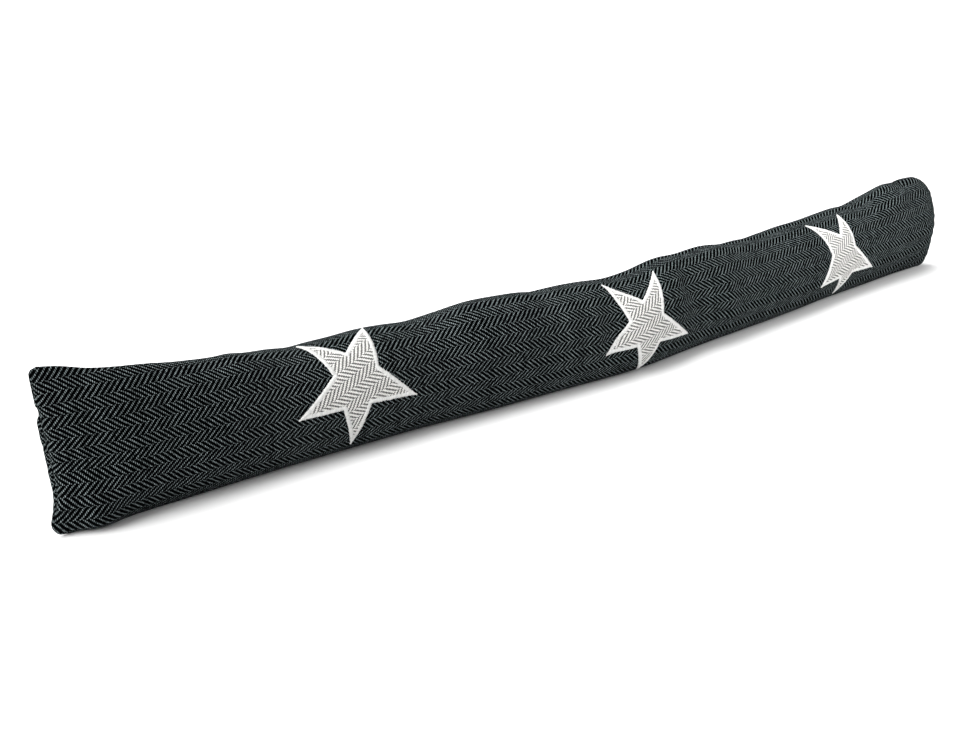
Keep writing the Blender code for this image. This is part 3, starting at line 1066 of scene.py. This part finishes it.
def make_camera():
    """The camera, where the photograph was taken from."""
    lens = bpy.data.cameras.new("camera")
    lens.sensor_fit = "HORIZONTAL"
    lens.sensor_width = SENSOR
    lens.lens = FOCAL_PIXELS / IMAGE_WIDTH * SENSOR
    lens.clip_start = NEAREST_SEEN
    lens.clip_end = FARTHEST_SEEN
    camera = bpy.data.objects.new("camera", lens)
    camera.location = CAMERA_AT
    camera.rotation_euler = (np.radians(90 - CAMERA_DOWN), 0, np.radians(CAMERA_TURN))
    bpy.context.scene.collection.objects.link(camera)
    bpy.context.scene.camera = camera


def make_lamp(name, kind, energy, at, towards):
    """One lamp, aimed from one place towards another. It isn't seen itself."""
    lamp = bpy.data.lights.new(name, kind)
    lamp.energy = energy
    light = bpy.data.objects.new(name, lamp)
    light.location = at
    light.rotation_euler = (Vector(towards) - light.location).to_track_quat("-Z", "Y").to_euler()
    light.visible_camera = False
    bpy.context.scene.collection.objects.link(light)
    return lamp


def make_light():
    """Soft studio light: a broad light overhead, one from the left, a small one at the far end."""
    scene = bpy.context.scene
    scene.view_settings.view_transform = "Standard"
    world = bpy.data.worlds.new("surround")
    world.use_nodes = True
    background = world.node_tree.nodes["Background"]
    background.inputs["Color"].default_value = (1, 1, 1, 1)
    background.inputs["Strength"].default_value = SURROUND
    scene.world = world
    overhead = make_lamp("overhead", "SUN", OVERHEAD, OVERHEAD_AT, TUBE_MIDDLE)
    overhead.angle = np.radians(OVERHEAD_ANGLE)
    left = make_lamp("left", "SUN", LEFT_LIGHT, LEFT_LIGHT_AT, TUBE_MIDDLE)
    left.angle = np.radians(LEFT_LIGHT_ANGLE)
    far = make_lamp("far end", "AREA", FAR_LIGHT, FAR_LIGHT_AT, FAR_END)
    far.shape = "DISK"
    far.size = FAR_LIGHT_SIZE


def make_floor():
    """The plain pale floor."""
    finish = Finish("pale floor")
    finish.shader.inputs["Roughness"].default_value = FLOOR_ROUGHNESS
    finish.shader.inputs["Specular IOR Level"].default_value = FLOOR_GLOSS
    place = finish.add("ShaderNodeTexCoord", {}, {}).outputs["Object"]
    tone = FLOOR_TONES[0] + FLOOR_TONES[1] * finish.noise(place, FLOOR_CLOUDS)
    finish.put(finish.shader.inputs["Base Color"], finish.tint(FLOOR_COLOUR, tone))
    half = FLOOR_HALF
    corners = [(-half, -half, 0), (half, -half, 0), (half, half, 0), (-half, half, 0)]
    floor = mesh_piece("floor", corners, [(0, 1, 2, 3)], finish.material)


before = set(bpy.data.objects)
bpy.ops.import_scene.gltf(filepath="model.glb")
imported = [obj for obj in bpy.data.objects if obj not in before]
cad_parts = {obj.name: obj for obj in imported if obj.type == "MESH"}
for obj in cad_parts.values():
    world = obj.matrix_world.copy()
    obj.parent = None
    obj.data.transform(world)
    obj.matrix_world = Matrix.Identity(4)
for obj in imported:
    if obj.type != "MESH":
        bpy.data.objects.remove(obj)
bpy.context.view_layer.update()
SHIFT = seam_frame_shift()

make_camera()
make_light()
make_floor()

dark_cloth = herringbone("dark herringbone", COVER_CLOTH)
pale_cloth = herringbone("pale herringbone", STAR_CLOTH)
satin = satin_finish()

cover_piece = cover(dark_cloth)
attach(cover_piece, "root")
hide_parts("tube")

stitcher = Stitcher(satin)
for star in range(1, len(STARS)):
    edge = satin_edge(star, stitcher)
    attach(edge, "root")
    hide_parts(f"star_edge_{star}")
    cloth = star_cloth(star, pale_cloth)
    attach(cloth, "root")
    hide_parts(f"star_{star}")
    width, depth, area = flat_size(star)
